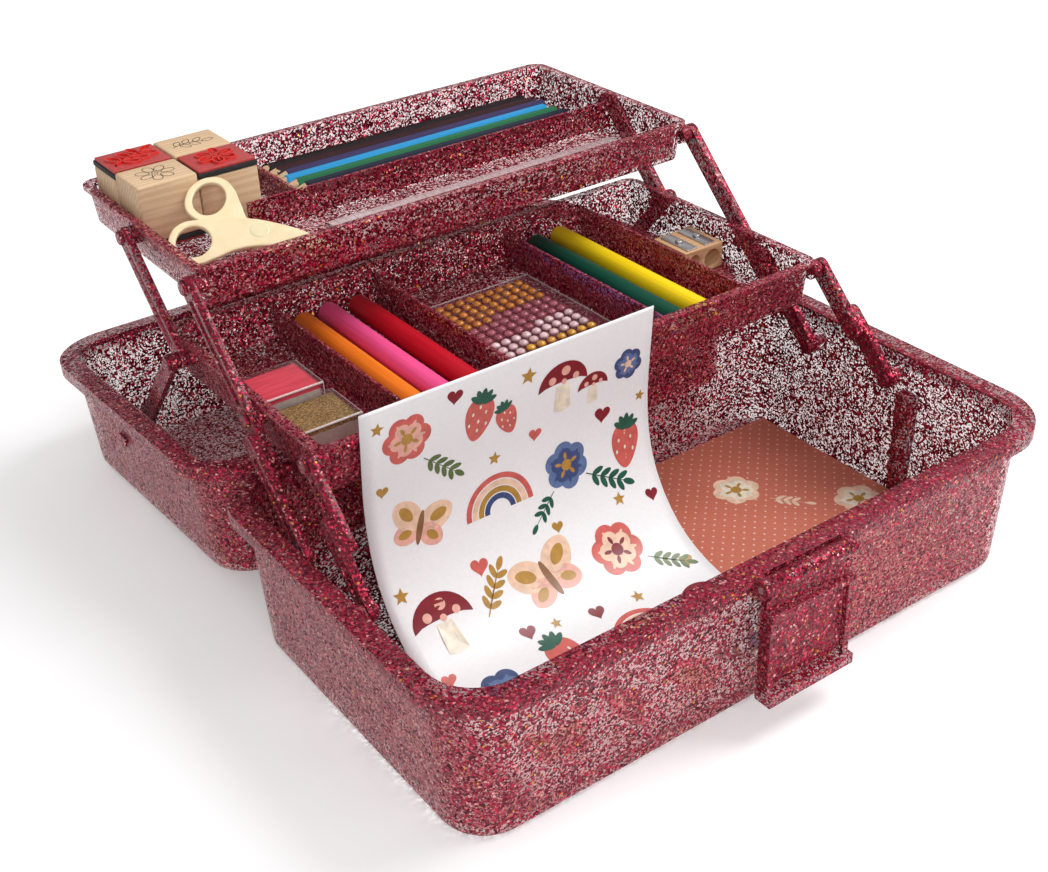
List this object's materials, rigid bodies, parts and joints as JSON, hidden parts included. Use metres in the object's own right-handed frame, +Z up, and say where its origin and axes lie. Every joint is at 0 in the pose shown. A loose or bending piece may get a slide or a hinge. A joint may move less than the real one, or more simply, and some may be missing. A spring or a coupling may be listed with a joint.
{
  "type": "art supply box",
  "caption": "Hinged box of clear glittery plastic whose trays fold up on arms as the lid opens, filled with stamps, pencils, ink pads, scissors, ruler and stickers.",
  "frame": {"origin": "middle of the underside of the base", "axes": "+X along the box to the right, +Y from the latch to the hinge, +Z up"},
  "size_m": [0.33, 0.4048, 0.1729],
  "materials": {
    "glitter_plastic": "clear plastic filled with red glitter",
    "steel": "satin",
    "beech": "bare, smooth",
    "stamp_foam": "black foam",
    "stamp_rubber": "red rubber",
    "scissors": "cream, smooth",
    "clear_plastic": "clear",
    "ink_red": "inked pad",
    "ink_gold": "inked pad",
    "card": "printed card",
    "sticker": "white sheet",
    "thin_black": "painted, sharpened wooden end",
    "thin_brown": "painted, sharpened wooden end",
    "thin_purple": "painted, sharpened wooden end",
    "thin_sky": "painted, sharpened wooden end",
    "thin_green": "painted, sharpened wooden end",
    "thin_navy": "painted, sharpened wooden end",
    "thick_orange": "painted, sharpened wooden end",
    "thick_pink": "painted, sharpened wooden end",
    "thick_red": "painted, sharpened wooden end",
    "thick_blue": "painted, sharpened wooden end",
    "thick_green": "painted, sharpened wooden end",
    "thick_yellow": "painted, sharpened wooden end"
  },
  "bodies": {
    "base": {"base_tub": "glitter_plastic", "hinge_pins": "steel", "latch_pin": "steel", "base_rivets": "glitter_plastic", "card": "card", "sticker_sheet": "sticker"},
    "long_arms": {"long_arm_left": "glitter_plastic", "long_arm_right": "glitter_plastic"},
    "front_arms": {"front_arm_left": "glitter_plastic", "front_arm_right": "glitter_plastic"},
    "rear_arms": {"rear_arm_left": "glitter_plastic", "rear_arm_right": "glitter_plastic"},
    "lid_links": {"lid_link_left": "glitter_plastic", "lid_link_right": "glitter_plastic"},
    "middle_tray": {"middle_tray": "glitter_plastic", "middle_rivets": "glitter_plastic", "ink_case_1": "clear_plastic", "ink_case_2": "clear_plastic", "ink_pad_1": "ink_red", "ink_pad_2": "ink_gold", "thick_pencil_1": "thick_orange", "thick_pencil_2": "thick_pink", "thick_pencil_3": "thick_red", "thick_pencil_4": "thick_blue", "thick_pencil_5": "thick_green", "thick_pencil_6": "thick_yellow", "gem_pack": "clear_plastic", "sharpener_body": "beech", "sharpener_blades": "steel", "sharpener_screws": "steel"},
    "upper_tray": {"upper_tray": "glitter_plastic", "upper_rivets": "glitter_plastic", "scissors_rivet": "steel", "stamp_block_1": "beech", "stamp_foam_1": "stamp_foam", "stamp_rubber_1": "stamp_rubber", "stamp_block_2": "beech", "stamp_foam_2": "stamp_foam", "stamp_rubber_2": "stamp_rubber", "stamp_block_3": "beech", "stamp_foam_3": "stamp_foam", "stamp_rubber_3": "stamp_rubber", "stamp_block_4": "beech", "stamp_foam_4": "stamp_foam", "stamp_rubber_4": "stamp_rubber", "scissors_upper": "scissors", "scissors_lower": "scissors", "thin_pencil_1": "thin_black", "thin_pencil_2": "thin_brown", "thin_pencil_3": "thin_purple", "thin_pencil_4": "thin_sky", "thin_pencil_5": "thin_green", "thin_pencil_6": "thin_navy", "ruler": "clear_plastic"},
    "lid": {"lid_shell": "glitter_plastic", "lid_studs": "glitter_plastic"},
    "latch": {"latch_flap": "glitter_plastic"}
  },
  "joints": [
    {"name": "fold", "type": "hinge", "parent": "base", "child": "long_arms", "pos_m": [0, 0.042, 0.063], "axis": [1, 0, 0], "range_deg": [0, 115.3], "deforming": ["sticker_sheet"]},
    {"name": "middle_level", "type": "hinge", "parent": "long_arms", "child": "middle_tray", "pos_m": [0, 0.08714, 0.10767], "axis": [1, 0, 0], "range_deg": [-115.3, 0]},
    {"name": "upper_level", "type": "hinge", "parent": "long_arms", "child": "upper_tray", "pos_m": [0, 0.13227, 0.15233], "axis": [1, 0, 0], "range_deg": [-115.3, 0]},
    {"name": "front_fold", "type": "hinge", "parent": "base", "child": "front_arms", "pos_m": [0, -0.01, 0.0655], "axis": [1, 0, 0], "range_deg": [0, 115.3]},
    {"name": "rear_fold", "type": "hinge", "parent": "middle_tray", "child": "rear_arms", "pos_m": [0, 0.15414, 0.10817], "axis": [1, 0, 0], "range_deg": [0, 115.3]},
    {"name": "link_fold", "type": "hinge", "parent": "middle_tray", "child": "lid_links", "pos_m": [0, 0.15414, 0.10817], "axis": [1, 0, 0], "range_deg": [0, 212.91]},
    {"name": "lid_hinge", "type": "hinge", "parent": "base", "child": "lid", "pos_m": [0, 0.099, 0.07715], "axis": [1, 0, 0], "range_deg": [0, 184.43]},
    {"name": "latch_turn", "type": "hinge", "parent": "base", "child": "latch", "pos_m": [0, -0.102, 0.073], "axis": [-1, 0, 0], "range_deg": [0, 180]}
  ],
  "couplings": [
    {"joint": "middle_level", "follows": "fold", "ratio": -1},
    {"joint": "upper_level", "follows": "fold", "ratio": -1},
    {"joint": "front_fold", "follows": "fold", "ratio": 1},
    {"joint": "rear_fold", "follows": "fold", "ratio": 1},
    {"joint": "link_fold", "follows": "fold", "ratio": 1.8465},
    {"joint": "lid_hinge", "follows": "fold", "ratio": 1.5996}
  ]
}
